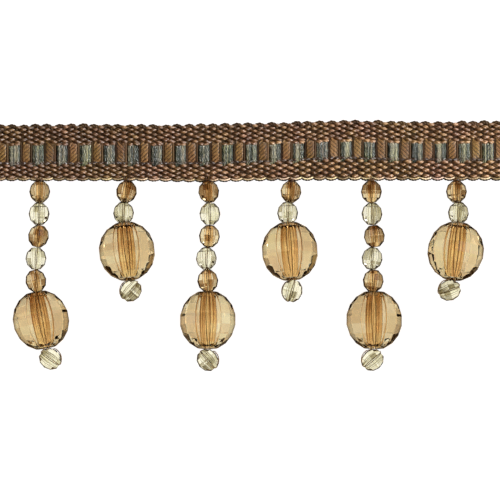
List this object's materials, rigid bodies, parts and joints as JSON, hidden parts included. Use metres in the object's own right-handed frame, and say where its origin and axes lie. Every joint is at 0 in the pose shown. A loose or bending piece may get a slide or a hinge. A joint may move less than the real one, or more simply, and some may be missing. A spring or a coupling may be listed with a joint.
{
  "type": "beaded fringe trimming",
  "caption": "Straight length of beaded fringe: a woven braid heading with a ladder band, and drops of faceted topaz and clear beads strung along its lower edge.",
  "frame": {"origin": "on the surface that it lies on, under the middle of the whole length", "axes": "+X along the braid, +Y across its face towards the upper edge, +Z out of its face"},
  "size_m": [0.15, 0.0712, 0.0163],
  "materials": {
    "braid": "woven braid of brown yarns with teal and gold-brown bars",
    "topaz_bead": "clear faceted acrylic tinted topaz",
    "clear_bead": "clear faceted acrylic with a pale champagne tint",
    "thread": "dark brown twisted thread"
  },
  "bodies": {
    "root": {"braid_heading": "braid", "drop1_bead1": "topaz_bead", "drop1_bead2": "clear_bead", "drop1_bead3": "topaz_bead", "drop1_bead4": "clear_bead", "drop1_bead5": "topaz_bead", "drop1_ball": "topaz_bead", "drop1_stopper": "clear_bead", "drop1_thread": "thread", "drop2_bead1": "topaz_bead", "drop2_bead2": "clear_bead", "drop2_ball": "topaz_bead", "drop2_stopper": "clear_bead", "drop2_thread": "thread", "drop3_bead1": "topaz_bead", "drop3_bead2": "clear_bead", "drop3_bead3": "topaz_bead", "drop3_bead4": "clear_bead", "drop3_bead5": "topaz_bead", "drop3_ball": "topaz_bead", "drop3_stopper": "clear_bead", "drop3_thread": "thread", "drop4_bead1": "topaz_bead", "drop4_bead2": "clear_bead", "drop4_ball": "topaz_bead", "drop4_stopper": "clear_bead", "drop4_thread": "thread", "drop5_bead1": "topaz_bead", "drop5_bead2": "clear_bead", "drop5_bead3": "topaz_bead", "drop5_bead4": "clear_bead", "drop5_bead5": "topaz_bead", "drop5_ball": "topaz_bead", "drop5_stopper": "clear_bead", "drop5_thread": "thread", "drop6_bead1": "topaz_bead", "drop6_bead2": "clear_bead", "drop6_ball": "topaz_bead", "drop6_stopper": "clear_bead", "drop6_thread": "thread"}
  },
  "joints": []
}
